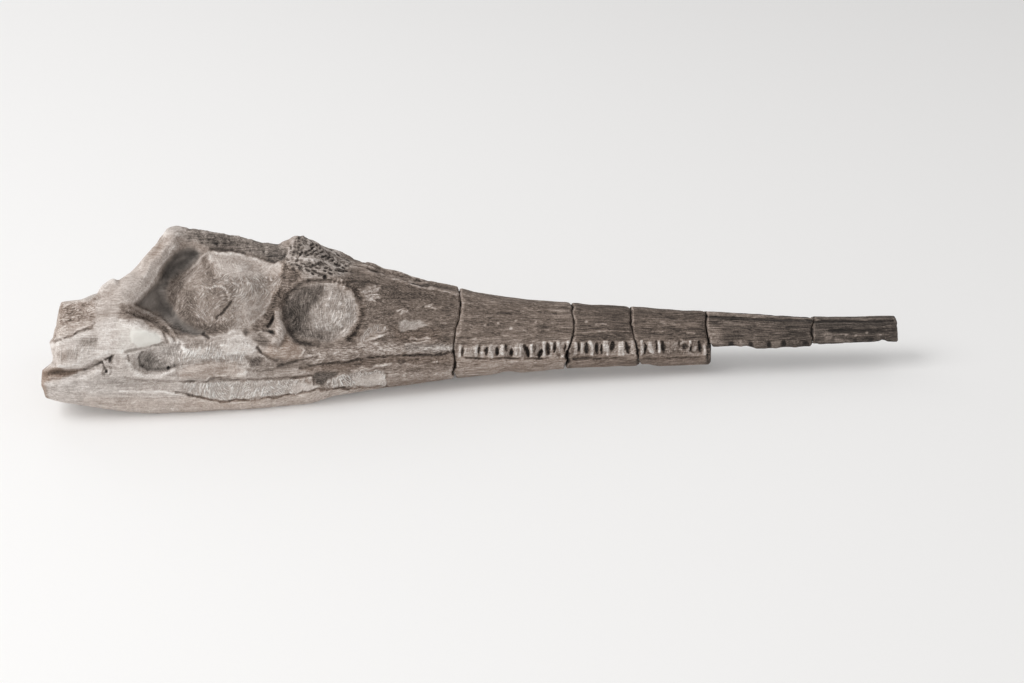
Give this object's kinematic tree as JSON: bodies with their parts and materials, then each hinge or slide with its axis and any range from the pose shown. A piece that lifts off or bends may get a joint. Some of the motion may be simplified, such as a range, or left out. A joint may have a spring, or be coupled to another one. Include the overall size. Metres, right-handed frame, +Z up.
{
  "type": "crocodile skull fossil",
  "caption": "Fossil skull of a long-snouted marine crocodile with the lower jaw cemented in place, broken across the snout and fitted end to end.",
  "frame": {"origin": "middle of the skull's bounding box, on the ground it rests on", "axes": "+X from the braincase toward the snout tip, +Z up"},
  "size_m": [0.835, 0.1874, 0.1628],
  "materials": {
    "skull_block": "fossil bone and pale rock fill, matt",
    "rostrum_rear": "grey-brown fossil bone, matt, streaked lengthwise",
    "rostrum_middle": "grey-brown fossil bone, matt, streaked lengthwise",
    "rostrum_front": "grey-brown fossil bone, matt, streaked lengthwise",
    "snout_front": "dark fossil bone, matt, streaked lengthwise",
    "snout_tip": "dark fossil bone, matt"
  },
  "bodies": {
    "root": {"skull_block": "skull_block", "rostrum_rear": "rostrum_rear", "rostrum_middle": "rostrum_middle", "rostrum_front": "rostrum_front", "snout_front": "snout_front", "snout_tip": "snout_tip"}
  },
  "joints": []
}
